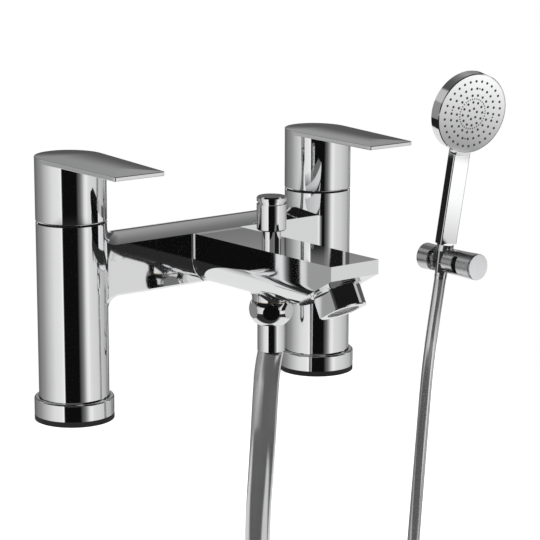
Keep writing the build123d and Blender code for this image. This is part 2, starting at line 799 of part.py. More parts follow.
with BuildPart() as holder_axle:
    axle_foot = barrel_front - axle_grip
    column(across_arm(axle_foot), axle_radius, nose_web - axle_foot)
    column(across_arm(nose_web + seat_gap), axle_head_radius, axle_head_height)
    column(across_arm(nose_web), axle_radius, axle_head_height)
    slot_plane = across_arm(nose_web + seat_gap + axle_head_height)
    with BuildSketch(slot_plane):
        Rectangle(axle_head_radius * 2, axle_slot_width)
    extrude(amount=-axle_slot_width, mode=Mode.SUBTRACT)
finish(holder_axle, "holder_axle")

with BuildPart() as tension_nut:
    with BuildSketch(across_arm(barrel_front + seat_gap)):
        RegularPolygon(tension_nut_across / 2, 6, major_radius=False)
        Circle(axle_radius + fit_gap, mode=Mode.SUBTRACT)
    extrude(amount=window_front - barrel_front - seat_gap)
finish(tension_nut, "tension_nut")

with BuildPart() as barrel_washer:
    ring(across_arm(-base_face), barrel_washer_radius, stub_radius + fit_gap, barrel_washer_height)
finish(barrel_washer, "barrel_washer")

# Hose end: ferrule and flanged insert, which the cone nut turns on
insert_seat = cone_foot + cone_floor
with BuildPart() as hose_end_insert:
    column(across_handset(insert_seat), insert_head_radius, insert_head_height)
    insert_foot_height = end_foot + insert_setback
    column(across_handset(insert_foot_height), insert_radius, insert_seat - insert_foot_height)
    insert_top = insert_seat + insert_head_height
    column(across_handset(insert_foot_height), insert_bore, insert_top - insert_foot_height, Mode.SUBTRACT)
finish(hose_end_insert, "hose_end_insert")

end_top = cone_foot - seat_gap
with BuildPart() as hose_end_ferrule:
    column(across_handset(end_foot), end_radius, end_top - end_foot)
    band_height = (end_top - end_foot) / 4
    for step in (1, 3):
        ring(across_handset(end_foot + band_height * step), end_ring_radius, insert_radius, band_height)
    column(across_handset(end_foot), insert_radius + fit_gap, end_top - end_foot, Mode.SUBTRACT)
finish(hose_end_ferrule, "hose_end_ferrule")

# Cone nut that joins the hose to the handset and sits in the holder
thread_foot = cone_top - inlet_thread_length
groove_radius = cone_foot_radius + cone_rise * (cone_line - cone_foot) - cone_groove_depth
with BuildPart() as cone_nut:
    with BuildSketch(across_handset(cone_foot)):
        Circle(cone_foot_radius)
    with BuildSketch(across_handset(cone_top)):
        Circle(cone_top_radius)
    loft()
    ring(across_handset(cone_line), cone_top_radius, groove_radius, cone_groove_width, Mode.SUBTRACT)
    column(across_handset(cone_foot), insert_radius + fit_gap, cone_length, Mode.SUBTRACT)
    nut_space = cone_top - insert_seat
    column(across_handset(insert_seat), cone_thread_radius + fit_gap, nut_space, Mode.SUBTRACT)
finish(cone_nut, "cone_nut")

with BuildPart() as inlet_washer:
    ring(across_handset(insert_top), insert_head_radius, inlet_thread_bore, thread_foot - insert_top)
finish(inlet_washer, "inlet_washer")

with BuildPart() as inlet_filter:
    column(across_handset(thread_foot), inlet_thread_bore - fit_gap, filter_height)
    with BuildSketch(across_handset(thread_foot)):
        with PolarLocations(inlet_thread_bore / 2, filter_holes):
            Circle(filter_hole_radius)
    extrude(amount=filter_height, mode=Mode.SUBTRACT)
finish(inlet_filter, "inlet_filter")

# Handset: flat bar handle and round head, hollow for the water
head_centre = holder_centre + handset_up * head_height


def across_head(depth):
    """Plane across the head's axis, depth behind its front rim, looking out of the spray face."""
    place = head_centre + handset_forward * (head_front - depth)
    return Plane(origin=place, x_dir=handset_side, z_dir=handset_forward)


handle_half = handle_thickness / 2
head_back = head_thickness - head_front
ramp_foot = head_height - head_radius + head_edge
ramp_top = head_height - head_radius / 2
cavity_depth = head_thickness - head_wall
mat_depth = face_recess + face_thickness
plate_depth = cavity_depth - chamber_back - plate_thickness
with BuildPart() as handset_body:
    with BuildSketch(Plane(origin=holder_centre, x_dir=-handset_forward, z_dir=handset_side)):
        with BuildLine():
            Polyline(
                (-handle_half, handle_foot),
                (handle_half, handle_foot),
                (handle_half, ramp_foot),
                (head_back - fit_gap, ramp_top),
                (-handle_half, ramp_top),
                close=True,
            )
        make_face()
    extrude(amount=handle_width / 2, both=True)
    fillet(handset_body.edges().filter_by(handset_axis), handle_edge)
    handle_edges = handset_body.edges()
    column(across_head(head_thickness), head_radius, head_thickness)
    neck_edges = (handset_body.edges() - handle_edges).filter_by(GeomType.LINE)
    neck_edges = neck_edges.filter_by(Axis(head_centre, handset_forward))
    fillet(neck_edges.sort_by(SortBy.LENGTH)[:2], handle_flare)
    front_rim = handset_body.edges().filter_by(GeomType.CIRCLE).sort_by(Axis.Y)[0]
    chamfer(front_rim, head_edge)
    column(across_handset(cone_top), inlet_stub_radius, handle_foot - cone_top)
    column(across_handset(thread_foot), cone_thread_radius, inlet_thread_length)
    column(across_handset(thread_foot), inlet_thread_bore, ramp_foot + head_wall - thread_foot, Mode.SUBTRACT)
    column(across_head(mat_depth), face_radius + face_gap, mat_depth, Mode.SUBTRACT)
    column(across_head(cavity_depth), cavity_radius, cavity_depth - mat_depth, Mode.SUBTRACT)
finish(handset_body, "handset_body")

# Spray face, the rubber mat whose pegs come through it, and the plate behind them
row_shifts = (0, 1, 0, 1, 0)
pattern_top = quarter_turn - spray_turn


def spray_rows(radius):
    """Circles of one radius at all nozzles of the pattern."""
    for count, share, shift in zip(row_counts, row_radius_shares, row_shifts):
        with PolarLocations(head_radius * share, count, pattern_top + shift * 180 / count):
            Circle(radius)
    with PolarLocations(head_radius * row_radius_shares[1], small_nozzles, pattern_top):
        Circle(radius * small_nozzle_share)


with BuildPart() as spray_face:
    column(across_head(mat_depth), face_radius, face_thickness)
    with BuildSketch(across_head(mat_depth)):
        spray_rows(nozzle_hole_radius)
        with PolarLocations(head_radius * mist_radius_share, mist_count, pattern_top):
            SlotOverall(mist_length, mist_width)
    extrude(amount=face_thickness, mode=Mode.SUBTRACT)
finish(spray_face, "spray_face")

with BuildPart() as nozzle_mat:
    column(across_head(mat_depth + mat_thickness), cavity_radius - face_gap, mat_thickness)
    mat_rim_height = plate_depth - mat_depth
    ring(across_head(plate_depth), cavity_radius - face_gap, cavity_radius - mat_rim, mat_rim_height)
    with BuildSketch(across_head(mat_depth)):
        spray_rows(nozzle_peg_radius)
    extrude(amount=face_thickness + nozzle_peg_rise)
    with BuildSketch(across_head(mat_depth + mat_thickness)):
        spray_rows(nozzle_jet_radius)
    extrude(amount=mat_thickness + face_thickness + nozzle_peg_rise, mode=Mode.SUBTRACT)
finish(nozzle_mat, "nozzle_mat")

with BuildPart() as water_plate:
    column(across_head(plate_depth + plate_thickness), cavity_radius - face_gap, plate_thickness)
    with BuildSketch(across_head(plate_depth + plate_thickness)):
        with PolarLocations(cavity_radius / 2, plate_holes):
            Circle(plate_hole_radius)
    extrude(amount=plate_thickness, mode=Mode.SUBTRACT)
    with BuildSketch(across_head(cavity_depth)):
        with PolarLocations(cavity_radius * plate_post_share, plate_posts, pattern_top):
            Circle(plate_post_radius)
    extrude(amount=chamber_back)
finish(water_plate, "water_plate")

# Hose: straight runs joined by arcs that are as large as the runs allow
hose_end = holder_centre + handset_up * end_foot
hose_start = Vector(0, -diverter_setback, ferrule_foot)
hose_points = [hose_start, hose_start - Vector(0, 0, hose_drop)]
hose_points += [Vector(point) for point in hose_middle]
hose_points += [hose_end - handset_up * hose_lead, hose_end]
hose_radii = []
for before, here, after in zip(hose_points, hose_points[1:], hose_points[2:]):
    shorter = min((here - before).length, (after - here).length)
    half_turn = radians((here - before).get_angle(after - here)) / 2
    hose_radii.append(hose_run_share * shorter / tan(half_turn))
print("hose radii", [round(radius) for radius in hose_radii])
print("hose runs", [round((after - here).length) for here, after in zip(hose_points, hose_points[1:])])

with BuildPart() as shower_hose:
    with BuildLine() as hose_path:
        FilletPolyline(*hose_points, radius=hose_radii)
    with BuildSketch(upright(0, -diverter_setback, ferrule_foot)) as hose_section:
        Circle(hose_radius)
        Circle(hose_bore_radius, mode=Mode.SUBTRACT)
    sweep(hose_section.sketch, path=hose_path.line)
finish(shower_hose, "shower_hose")
hose_length = hose_path.wires()[0].length
print("hose length", round(hose_length, 1))
print("hose volume share", round(shower_hose.part.volume / (hose_section.sketch.area * hose_length), 5))
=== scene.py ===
import bmesh
import bpy
import json
from math import acos, atan2, cos, pi, radians, sin, sqrt, tan
from mathutils import Matrix, Vector


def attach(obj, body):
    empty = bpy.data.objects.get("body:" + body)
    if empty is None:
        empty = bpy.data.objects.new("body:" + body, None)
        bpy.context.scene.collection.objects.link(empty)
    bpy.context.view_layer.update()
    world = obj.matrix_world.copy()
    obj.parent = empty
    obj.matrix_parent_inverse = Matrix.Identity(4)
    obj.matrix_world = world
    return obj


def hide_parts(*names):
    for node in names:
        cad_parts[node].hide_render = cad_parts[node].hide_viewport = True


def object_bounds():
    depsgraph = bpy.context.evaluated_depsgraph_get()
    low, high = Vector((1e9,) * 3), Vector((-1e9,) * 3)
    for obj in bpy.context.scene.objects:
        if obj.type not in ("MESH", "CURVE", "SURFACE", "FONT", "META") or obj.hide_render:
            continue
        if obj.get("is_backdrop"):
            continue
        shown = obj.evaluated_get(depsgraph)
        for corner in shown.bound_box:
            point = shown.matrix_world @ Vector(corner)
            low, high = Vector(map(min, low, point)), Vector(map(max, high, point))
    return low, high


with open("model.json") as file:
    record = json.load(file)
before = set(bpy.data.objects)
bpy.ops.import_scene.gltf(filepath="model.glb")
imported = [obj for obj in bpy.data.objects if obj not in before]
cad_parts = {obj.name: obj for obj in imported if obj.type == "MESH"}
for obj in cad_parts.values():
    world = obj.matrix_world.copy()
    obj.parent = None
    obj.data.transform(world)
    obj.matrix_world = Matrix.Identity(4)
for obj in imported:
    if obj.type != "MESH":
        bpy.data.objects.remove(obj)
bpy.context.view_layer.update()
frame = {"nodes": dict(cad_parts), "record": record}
nodes = frame["nodes"]
mm = 0.001


# shader helpers
class Signal:
    def __init__(self, tree, socket):
        self.tree = tree
        self.socket = socket

    def maths(self, operation, first, second):
        made = self.tree.nodes.new("ShaderNodeMath")
        made.operation = operation
        for slot, value in zip(made.inputs, (first, second)):
            if isinstance(value, Signal):
                self.tree.links.new(value.socket, slot)
            else:
                slot.default_value = value
        return Signal(self.tree, made.outputs[0])

    def __add__(self, other):
        return self.maths("ADD", self, other)

    def __radd__(self, other):
        return self.maths("ADD", other, self)

    def __sub__(self, other):
        return self.maths("SUBTRACT", self, other)

    def __rsub__(self, other):
        return self.maths("SUBTRACT", other, self)

    def __mul__(self, other):
        return self.maths("MULTIPLY", self, other)

    def __rmul__(self, other):
        return self.maths("MULTIPLY", other, self)


class Shading:
    def __init__(self, tree):
        self.tree = tree

    def node(self, kind, settings=None, inputs=None, output=0):
        made = self.tree.nodes.new(kind)
        for key, value in (settings or {}).items():
            if key == "stops":
                ramp = made.color_ramp
                while len(ramp.elements) < len(value):
                    ramp.elements.new(1.0)
                for element, (position, colour) in zip(ramp.elements, value):
                    element.position = position
                    element.color = (*colour, 1) if isinstance(colour, tuple) else (colour, colour, colour, 1)
            else:
                setattr(made, key, value)
        for key, value in (inputs or {}).items():
            self.feed(made.inputs[key], value)
        return Signal(self.tree, made.outputs[output])

    def feed(self, socket, value):
        if isinstance(value, Signal):
            self.tree.links.new(value.socket, socket)
        else:
            socket.default_value = value

    def mix(self, factor, first, second):
        made = self.tree.nodes.new("ShaderNodeMix")
        made.data_type = "RGBA"
        self.feed(made.inputs[0], factor)
        for slot, value in ((6, first), (7, second)):
            if isinstance(value, tuple) and len(value) == 3:
                value = (*value, 1)
            self.feed(made.inputs[slot], value)
        return Signal(self.tree, made.outputs[2])

    def ray(self, kind):
        return self.node("ShaderNodeLightPath", output=f"Is {kind} Ray")

    def seenRay(self):
        rays = {0: self.ray("Camera"), 1: self.ray("Transmission")}
        return self.node("ShaderNodeMath", {"operation": "MAXIMUM"}, rays)


class Finish(Shading):
    def __init__(self, name, look):
        self.material = bpy.data.materials.new(name)
        self.material.use_nodes = True
        super().__init__(self.material.node_tree)
        self.shader = self.tree.nodes["Principled BSDF"]
        self.place = self.node("ShaderNodeTexCoord", output="Object")
        for key, value in look.items():
            self.set(key, value)

    def set(self, key, value):
        if isinstance(value, tuple) and len(value) == 3:
            value = (*value, 1)
        self.feed(self.shader.inputs[key], value)

    def noise(self, scale, detail, stretch=None):
        place = self.place
        if stretch:
            place = self.node("ShaderNodeMapping", inputs={"Vector": self.place, "Scale": stretch})
        return self.node("ShaderNodeTexNoise", inputs={"Vector": place, "Scale": scale, "Detail": detail})

    def bump(self, height, depth, strength=1.0):
        inputs = {"Strength": strength, "Distance": depth, "Height": height}
        self.set("Normal", self.node("ShaderNodeBump", inputs=inputs))


def chromeFinish():
    made = Finish("polishedChrome", {"Metallic": 1.0, "IOR": 2.5})
    cloud = made.noise(35, 2)
    haze = made.noise(900, 3)
    made.set("Base Color", made.mix(cloud, (0.88, 0.885, 0.895), (0.93, 0.93, 0.935)))
    made.set("Roughness", 0.028 + cloud * 0.02 + haze * 0.012)
    return made.material


def satinFinish():
    made = Finish("satinChrome", {"Metallic": 1.0, "IOR": 2.5})
    grain = made.noise(700, 4, stretch=(1, 12, 1))
    cloud = made.noise(40, 2)
    made.set("Base Color", made.mix(cloud, (0.66, 0.665, 0.675), (0.74, 0.74, 0.75)))
    made.set("Roughness", 0.2 + grain * 0.06 + cloud * 0.02)
    made.bump(grain, 0.00001, 0.2)
    return made.material


def platedPlasticFinish():
    made = Finish("platedPlastic", {"Metallic": 1.0, "IOR": 2.2})
    cloud = made.noise(28, 2)
    haze = made.noise(800, 3)
    made.set("Base Color", made.mix(cloud, (0.86, 0.865, 0.875), (0.92, 0.92, 0.925)))
    made.set("Roughness", 0.05 + cloud * 0.03 + haze * 0.015)
    return made.material


def hoseFinish():
    made = Finish("hoseCover", {"Metallic": 0.84, "Coat Weight": 0.3, "Coat Roughness": 0.12})
    cloud = made.noise(60, 2)
    grain = made.noise(1400, 3)
    made.set("Base Color", made.mix(cloud, (0.66, 0.66, 0.67), (0.74, 0.74, 0.745)))
    made.set("Roughness", 0.13 + grain * 0.02)
    made.bump(cloud, 0.00002, 0.12)
    return made.material


def brassFinish():
    made = Finish("machinedBrass", {"Metallic": 1.0})
    grain = made.noise(600, 4, stretch=(1, 1, 9))
    cloud = made.noise(50, 2)
    made.set("Base Color", made.mix(cloud, (0.66, 0.47, 0.2), (0.78, 0.6, 0.31)))
    made.set("Roughness", 0.2 + grain * 0.16)
    made.bump(grain, 0.00003, 0.4)
    return made.material


def steelFinish():
    made = Finish("plainSteel", {"Metallic": 1.0})
    grain = made.noise(800, 4, stretch=(1, 8, 1))
    cloud = made.noise(45, 2)
    made.set("Base Color", made.mix(cloud, (0.52, 0.52, 0.53), (0.64, 0.635, 0.63)))
    made.set("Roughness", 0.24 + grain * 0.14)
    made.bump(grain, 0.00002, 0.4)
    return made.material


def ceramicFinish():
    made = Finish("lappedCeramic", {"Specular IOR Level": 0.6})
    speck = made.noise(1500, 4)
    made.set("Base Color", made.mix(speck, (0.8, 0.79, 0.76), (0.93, 0.92, 0.9)))
    made.set("Roughness", 0.22 + speck * 0.12)
    return made.material


def rubberFinish(name, dark, light, rough, depth):
    made = Finish(name, {"Specular IOR Level": 0.35})
    cloud = made.noise(70, 3)
    grain = made.noise(1800, 4)
    made.set("Base Color", made.mix(cloud, dark, light))
    made.set("Roughness", rough + grain * 0.12)
    made.bump(grain, depth, 0.5)
    return made.material


finishes = {
    "chrome_brass": chromeFinish(),
    "satin_chrome": satinFinish(),
    "chrome_plastic": platedPlasticFinish(),
    "hose_cover": hoseFinish(),
    "brass": brassFinish(),
    "steel": steelFinish(),
    "ceramic": ceramicFinish(),
    "black_rubber": rubberFinish("blackRubber", (0.012, 0.012, 0.012), (0.03, 0.03, 0.03), 0.55, 0.00004),
    "nozzle_rubber": rubberFinish("nozzleRubber", (0.05, 0.05, 0.053), (0.09, 0.09, 0.094), 0.38, 0.00002),
    "black_plastic": rubberFinish("blackPlastic", (0.012, 0.012, 0.014), (0.026, 0.026, 0.028), 0.4, 0.00002),
    "grey_plastic": rubberFinish("greyPlastic", (0.3, 0.3, 0.31), (0.4, 0.4, 0.41), 0.4, 0.00002),
}
for row in frame["record"]["subparts"]:
    shown = nodes[row["node"]]
    shown.data.materials.clear()
    shown.data.materials.append(finishes[row["material_slot"]])
print("materials on", len(nodes), "solids")


# mesh helpers
def added(name, data):
    piece = bpy.data.objects.new(name, data)
    bpy.context.scene.collection.objects.link(piece)
    return piece


def shape(name, mesh, body, finish, slot, *replaced, sharp=35):
    for face in mesh.faces:
        face.smooth = True
    for edge in mesh.edges:
        edge.smooth = len(edge.link_faces) == 2 and edge.calc_face_angle(0) < radians(sharp)
    data = bpy.data.meshes.new(name)
    mesh.to_mesh(data)
    mesh.free()
    data.materials.append(finish)
    piece = added(name, data)
    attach(piece, body)
    if replaced:
        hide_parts(*replaced)
    return piece


def skin(mesh, loops):
    rows = [[mesh.verts.new(Vector(point) * mm) for point in loop] for loop in loops]
    for lower, upper in zip(rows, rows[1:]):
        for i in range(len(lower)):
            j = (i + 1) % len(lower)
            mesh.faces.new((lower[i], lower[j], upper[j], upper[i]))
    return rows


def lathe(mesh, profile, centre, steps=96, axis=Vector((0, 0, 1)), across=Vector((1, 0, 0))):
    centre = Vector(centre)
    verts = [mesh.verts.new((centre + across * out + axis * rise) * mm) for out, rise in profile]
    geom = verts + [mesh.edges.new(pair) for pair in zip(verts, verts[1:] + verts[:1])]
    bmesh.ops.spin(mesh, geom=geom, cent=centre * mm, axis=axis, angle=2 * pi, steps=steps, use_merge=True)


def corner(centre, radius, first, last, steps=5):
    angles = [radians(first + (last - first) * i / steps) for i in range(steps + 1)]
    return [(centre[0] + radius * cos(angle), centre[1] + radius * sin(angle)) for angle in angles]


# lever handles: a round cap under a teardrop plate with a slight crown and rounded edges
lever = {
    "radius": 20.1,
    "top": 150.4,
    "fall": 1.6,
    "reach": 66.9,
    "half": 16.4,
    "plate": 2.5,
    "crown": 0.35,
    "edge": 0.4,
    "tipCorner": 1.1,
    "foot": 114.2,
    "footEdge": 0.8,
    "underEdge": 0.35,
    "overlap": 1.2,
    "bore": 15.0,
    "boreTop": 126.2,
    "spindleBore": 4.05,
    "shares": [0.0, 0.12, 0.25, 0.38, 0.5, 0.62, 0.74, 0.84, 0.92, 0.97],
    "underShares": (0.7, 0.35, 0.0),
    "undercutFrom": 14,
    "undercutOver": 10,
    "spineShare": 0.72,
    "roundSteps": 48,
    "tipSteps": 6,
    "spacing": 3,
    "edgeSteps": 5,
    "underSteps": 4,
    "capSteps": 144,
    "weld": 0.00001,
}


def teardrop():
    reach, half, big, small = lever["reach"], lever["half"], lever["radius"], lever["tipCorner"]
    low = (half - small, -reach + small)
    span = sqrt(low[0] ** 2 + low[1] ** 2)
    touch = atan2(low[1], low[0]) + acos((big - small) / span)
    arcs = [
        (0, 0, big, touch, pi - 2 * touch, lever["roundSteps"]),
        (-low[0], low[1], small, pi - touch, pi / 2 + touch, lever["tipSteps"]),
        (low[0], low[1], small, -pi / 2, pi / 2 + touch, lever["tipSteps"]),
    ]
    points = []
    for x, y, radius, first, sweep, steps in arcs:
        points += [(x, y, radius, first + sweep * i / steps) for i in range(steps + 1)]
    outline = []
    for i, (x, y, radius, angle) in enumerate(points):
        here = Vector((x + radius * cos(angle), y + radius * sin(angle)))
        outline.append((here, Vector((cos(angle), sin(angle)))))
        x, y, radius, angle = points[(i + 1) % len(points)]
        after = Vector((x + radius * cos(angle), y + radius * sin(angle)))
        parts = int((after - here).length / lever["spacing"])
        for step in range(1, parts):
            outline.append((here.lerp(after, step / parts), outline[-1][1]))
    return outline


def leverPiece(side, x):
    outline = teardrop()
    slope = tan(radians(lever["fall"]))
    plate, edge = lever["plate"], lever["edge"]

    def loop(inset, drop, share=1.0, under=0.0):
        points = []
        for place, outward in outline:
            free = min(max((-place.y - lever["undercutFrom"]) / lever["undercutOver"], 0), 1)
            flat = place - outward * (inset + under * free)
            spine = Vector((0, min(max(flat.y, -lever["reach"] * lever["spineShare"]), 0)))
            flat = spine + (flat - spine) * share
            crown = lever["crown"] * (1 - share ** 2) if drop == 0 else 0
            points.append((x + flat.x, flat.y, lever["top"] + flat.y * slope + crown - drop))
        return points

    mesh = bmesh.new()
    under = lever["underEdge"]
    loops = [loop(edge, 0, share) for share in lever["shares"]] + [loop(edge, 0)]
    for i in range(1, lever["edgeSteps"] + 1):
        turn = pi / 2 * i / lever["edgeSteps"]
        loops.append(loop(edge * (1 - sin(turn)), edge * (1 - cos(turn))))
    loops.append(loop(0, plate - under))
    for i in range(1, lever["underSteps"] + 1):
        turn = pi / 2 * i / lever["underSteps"]
        loops.append(loop(0, plate - under * (1 - sin(turn)), under=under * (1 - cos(turn))))
    loops += [loop(under, plate, share) for share in lever["underShares"]]
    skin(mesh, loops)
    bmesh.ops.remove_doubles(mesh, verts=mesh.verts, dist=lever["weld"])
    foot, big, bore = lever["foot"], lever["radius"], lever["bore"]
    rise = lever["top"] - plate + lever["overlap"]
    outer = corner((big - lever["footEdge"], foot + lever["footEdge"]), lever["footEdge"], -90, 0)
    inner, boreTop = lever["spindleBore"], lever["boreTop"]
    profile = [(inner, rise), (inner, boreTop), (bore, boreTop), (bore, foot)] + outer + [(big, rise)]
    lathe(mesh, profile, (x, 0, 0), lever["capSteps"])
    bmesh.ops.recalc_face_normals(mesh, faces=mesh.faces)
    chrome = finishes["chrome_brass"]
    shape(f"{side}LeverHandle", mesh, f"{side}_lever", chrome, "chrome_brass", f"{side}_lever_handle")


# thin black ring in the seam under each cap, painted shade that makes the seam read dark and hides the
# cartridge
seamShade = {"inner": 15.3, "outer": 18.7, "low": 113.25, "high": 114.15}
for side, x in (("left", -90.0), ("right", 90.0)):
    leverPiece(side, x)
    # the black ring is painted shade in the seam between cap and pillar
    ringMesh = bmesh.new()
    bottom = [(seamShade["inner"], seamShade["low"]), (seamShade["outer"], seamShade["low"])]
    top = [(seamShade["outer"], seamShade["high"]), (seamShade["inner"], seamShade["high"])]
    lathe(ringMesh, bottom + top, (x, 0, 0))
    bmesh.ops.recalc_face_normals(ringMesh, faces=ringMesh.faces)
    shape(f"{side}SeamShadeRing", ringMesh, "mixer", finishes["black_plastic"], "black_plastic")
print("levers made")


# mixer body and spout: the castings' own meshes with their sharp creases rounded
castings = {
    "mixer_body": {"label": "mixerBody", "width": 0.0011},
    "spout": {"label": "spoutBody", "width": 0.0006},
}
rounding = {"segments": 3, "sharpFrom": 24, "merge": 0.000002}
for name, look in castings.items():
    source = nodes[name]
    castingMesh = bmesh.new()
    castingMesh.from_mesh(source.data)
    bmesh.ops.transform(castingMesh, matrix=source.matrix_world, verts=castingMesh.verts)
    bmesh.ops.remove_doubles(castingMesh, verts=castingMesh.verts, dist=rounding["merge"])
    bmesh.ops.dissolve_degenerate(castingMesh, dist=rounding["merge"], edges=castingMesh.edges)
    chrome = finishes["chrome_brass"]
    casting = shape(look["label"], castingMesh, "mixer", chrome, "chrome_brass", name, sharp=25)
    rounded = casting.modifiers.new("edges", "BEVEL")
    rounded.width = look["width"]
    rounded.segments = rounding["segments"]
    rounded.limit_method = "ANGLE"
    rounded.angle_limit = radians(rounding["sharpFrom"])
    rounded.harden_normals = True


# small fillet where the spout's sides meet the bridge's flat face
root = {
    "half": 16.9,
    "top": 100.1,
    "middle": 86.8,
    "sweep": 58,
    "face": -16.12,
    "radius": 1.5,
    "sink": 0.3,
    "sideSteps": 8,
    "sweepSteps": 12,
    "bendSteps": 6,
}
for side in (-1, 1):
    steps, fall = root["sideSteps"], root["top"] - root["middle"]
    path = [(root["half"], root["top"] - fall * i / steps, 0.0) for i in range(steps)]
    for i in range(root["sweepSteps"] + 1):
        turn = radians(root["sweep"]) * i / root["sweepSteps"]
        path.append((root["half"] * cos(turn), root["middle"] - root["half"] * sin(turn), turn))
    loops = []
    for x, z, turn in path:
        size = root["radius"]
        bend = [pi / 2 * i / root["bendSteps"] for i in range(root["bendSteps"] + 1)]
        section = [(size * (1 - sin(a)), root["face"] - size * (1 - cos(a))) for a in bend]
        section += [(-root["sink"], root["face"] - size), (-root["sink"], root["face"])]
        loops.append([(side * (x + out * cos(turn)), y, z - out * sin(turn)) for out, y in section])
    rootMesh = bmesh.new()
    rows = skin(rootMesh, loops)
    rootMesh.faces.new(rows[0])
    rootMesh.faces.new(rows[-1])
    bmesh.ops.recalc_face_normals(rootMesh, faces=rootMesh.faces)
    label = "leftSpoutRoot" if side < 0 else "rightSpoutRoot"
    shape(label, rootMesh, "mixer", finishes["chrome_brass"], "chrome_brass", sharp=50)
print("castings rounded")


# soft dark collars round the nozzles, which widen the pegs at the spray face
spray = {
    "centre": (1040.8, 844.7, -3.8),
    "turn": 0.7,
    "lean": 9.7,
    "spin": 7.8,
    "front": 13.7,
    "radius": 50.0,
    "rows": [(30, 0.815, 0), (24, 0.632, 1), (18, 0.465, 0), (12, 0.29, 1), (6, 0.131, 0)],
    "mist": (36, 0.374, 0),
    "top": 80.0,
    "collar": (1.0, 1.65),
    "mistCollar": (0.3, 0.85),
    "proud": 0.22,
    "sunk": 0.1,
    "slope": 0.12,
    "sideShare": 0.5,
    "steps": 16,
}
turn, lean, spin = (radians(spray[key]) for key in ("turn", "lean", "spin"))
barrelUp = Vector((sin(turn), 0, cos(turn)))
barrelSide = Vector((cos(turn), 0, -sin(turn)))
outFront = Vector((0, -1, 0))
sprayUp = barrelUp * cos(lean) + outFront * sin(lean)
slotFront = outFront * cos(lean) - barrelUp * sin(lean)
sprayFront = slotFront * cos(spin) - barrelSide * sin(spin)
spraySide = barrelSide * cos(spin) + slotFront * sin(spin)


def collarShape(inner, outer):
    proud = spray["proud"]
    profile = [(inner, -spray["sunk"]), (outer, -spray["sunk"]), (outer, proud * spray["sideShare"])]
    profile += [(outer - spray["slope"], proud), (inner, proud)]
    middle = Vector(spray["centre"]) + sprayFront * spray["front"]
    mesh = bmesh.new()
    lathe(mesh, profile, middle, spray["steps"], sprayFront, spraySide)
    data = bpy.data.meshes.new("collar")
    mesh.to_mesh(data)
    mesh.free()
    return data


# each collar is made once and copied to its nozzles
collarMesh = bmesh.new()
for rows, size in ((spray["rows"], spray["collar"]), ([spray["mist"]], spray["mistCollar"])):
    collar = collarShape(*size)
    for count, share, shift in rows:
        reach = spray["radius"] * share * mm
        for i in range(count):
            angle = radians(spray["top"] + shift * 180 / count + 360 * i / count)
            placed = len(collarMesh.verts)
            collarMesh.from_mesh(collar)
            collarMesh.verts.ensure_lookup_table()
            move = spraySide * reach * cos(angle) + sprayUp * reach * sin(angle)
            bmesh.ops.translate(collarMesh, verts=collarMesh.verts[placed:], vec=move)
    bpy.data.meshes.remove(collar)
bmesh.ops.recalc_face_normals(collarMesh, faces=collarMesh.faces)
shape("nozzleCollars", collarMesh, "handset", finishes["nozzle_rubber"], "nozzle_rubber")
print("collars made")


# camera at the photograph's place
photoCamera = {
    "place": (-0.721666, -0.958697, 0.326201),
    "azimuth": 38.9498,
    "pitch": 11.8941,
    "roll": 0.1158,
    "focalPixels": 2078.050,
    "framePixels": 540,
    "shiftPixels": 0.5,
    "film": 36,
    "clipStart": 0.02,
}
camera = added("camera", bpy.data.cameras.new("camera"))
camera.data.sensor_width = photoCamera["film"]
camera.data.lens = photoCamera["focalPixels"] / photoCamera["framePixels"] * photoCamera["film"]
camera.data.clip_start = photoCamera["clipStart"]
camera.data.shift_x = -photoCamera["shiftPixels"] / photoCamera["framePixels"]
camera.data.shift_y = photoCamera["shiftPixels"] / photoCamera["framePixels"]
camera.matrix_world = (
    Matrix.Translation(photoCamera["place"])
    @ Matrix.Rotation(-radians(photoCamera["azimuth"]), 4, "Z")
    @ Matrix.Rotation(radians(90 - photoCamera["pitch"]), 4, "X")
    @ Matrix.Rotation(radians(photoCamera["roll"]), 4, "Z")
)
bpy.context.scene.camera = camera


# smooth hose in one hanging loop between the spout and the handset
hose = {
    "radius": 0.0074,
    "length": 1.944,
    "order": 3,
    "spanSteps": 16,
    "roundSteps": 10,
    "route": [
        (0.0, -66.7, 38.6),
        (-0.4, -64.2, 30.0),
        (-0.7, -62.2, 10.0),
        (-0.4, -59.5, -22.0),
        (7.0, -45.0, -76.0),
        (35.0, -10.0, -164.0),
        (76.0, 27.0, -253.0),
        (126.0, 73.0, -331.0),
        (185.0, 127.0, -403.0),
        (275.0, 209.0, -487.0),
        (373.0, 297.0, -553.0),
        (478.0, 390.0, -599.0),
        (587.0, 486.0, -625.0),
        (696.0, 586.0, -625.0),
        (802.0, 685.0, -597.0),
        (881.0, 759.0, -551.0),
        (950.0, 824.0, -481.0),
        (993.0, 862.0, -413.0),
        (1022.0, 885.0, -333.0),
        (1037.581, 889.856, -268.204),
        (1038.205, 881.128, -217.148),
    ],
}


def hoseCurve():
    curve = bpy.data.curves.new("showerHose", "CURVE")
    curve.dimensions = "3D"
    curve.bevel_depth = hose["radius"]
    curve.bevel_resolution = hose["roundSteps"]
    curve.use_fill_caps = True
    spline = curve.splines.new("NURBS")
    spline.points.add(len(hose["route"]) - 1)
    for point, place in zip(spline.points, hose["route"]):
        point.co = (*(Vector(place) * mm), 1)
    spline.order_u = hose["order"]
    spline.use_endpoint_u = True
    spline.resolution_u = hose["spanSteps"]
    piece = added("showerHose", curve)
    curve.materials.append(finishes["hose_cover"])
    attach(piece, "mixer")
    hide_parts("shower_hose")


hoseCurve()
print("hose laid")


